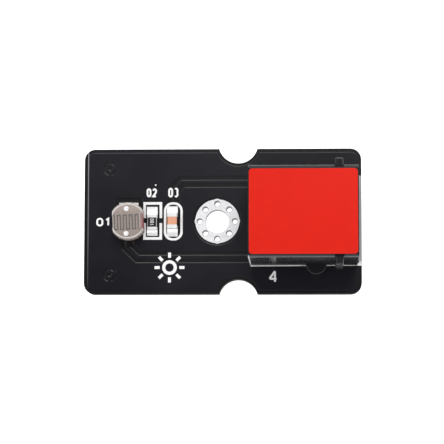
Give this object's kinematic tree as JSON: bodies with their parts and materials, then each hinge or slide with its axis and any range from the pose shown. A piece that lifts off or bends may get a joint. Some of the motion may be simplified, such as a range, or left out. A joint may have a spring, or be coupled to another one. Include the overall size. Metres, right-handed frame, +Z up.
{
  "type": "light sensor module",
  "caption": "Flat black circuit board with a round photoresistor at one end, chip parts and a plated mounting hole, and a modular jack with a red label at the other end.",
  "frame": {"origin": "under the board's centre, at the level of the cut tails and pegs that the module rests on", "axes": "+X along the board towards the jack's port, +Y across the board, +Z up from the board's parts side"},
  "size_m": [0.038, 0.02, 0.0149],
  "materials": {
    "solder_mask": "semi-gloss black solder mask on glass-fibre board",
    "tinned_copper": "tin finish on copper",
    "solder": "bright solder",
    "alumina": "matte white ceramic",
    "sensing_film": "dark red-brown sintered film",
    "electrode": "dull metal film",
    "clear_resin": "clear epoxy",
    "resistor_glaze": "black glaze",
    "capacitor_ceramic": "matte tan ceramic",
    "jack_plastic": "semi-gloss black moulding",
    "contact_metal": "gold plating",
    "red_label": "satin red film",
    "white_print": "matte white printed ink"
  },
  "bodies": {
    "root": {"circuit_board": "solder_mask", "mounting_hole_plating": "tinned_copper", "ldr_ceramic_base": "alumina", "ldr_sensing_track": "sensing_film", "ldr_electrode_upper": "electrode", "ldr_electrode_lower": "electrode", "ldr_lead_upper": "solder", "ldr_lead_lower": "solder", "ldr_clear_coat": "clear_resin", "ldr_solder_upper": "solder", "ldr_solder_lower": "solder", "resistor_body": "alumina", "resistor_overcoat": "resistor_glaze", "resistor_terminal_upper": "tinned_copper", "resistor_terminal_lower": "tinned_copper", "resistor_solder_upper": "solder", "resistor_solder_lower": "solder", "capacitor_body": "capacitor_ceramic", "capacitor_terminal_upper": "tinned_copper", "capacitor_terminal_lower": "tinned_copper", "capacitor_solder_upper": "solder", "capacitor_solder_lower": "solder", "jack_housing": "jack_plastic", "jack_contact_insert": "jack_plastic", "jack_contact_1": "contact_metal", "jack_contact_2": "contact_metal", "jack_contact_3": "contact_metal", "jack_contact_4": "contact_metal", "jack_contact_5": "contact_metal", "jack_contact_6": "contact_metal", "jack_solder_1": "solder", "jack_solder_2": "solder", "jack_solder_3": "solder", "jack_solder_4": "solder", "jack_solder_5": "solder", "jack_solder_6": "solder", "jack_label": "red_label"}
  },
  "joints": []
}
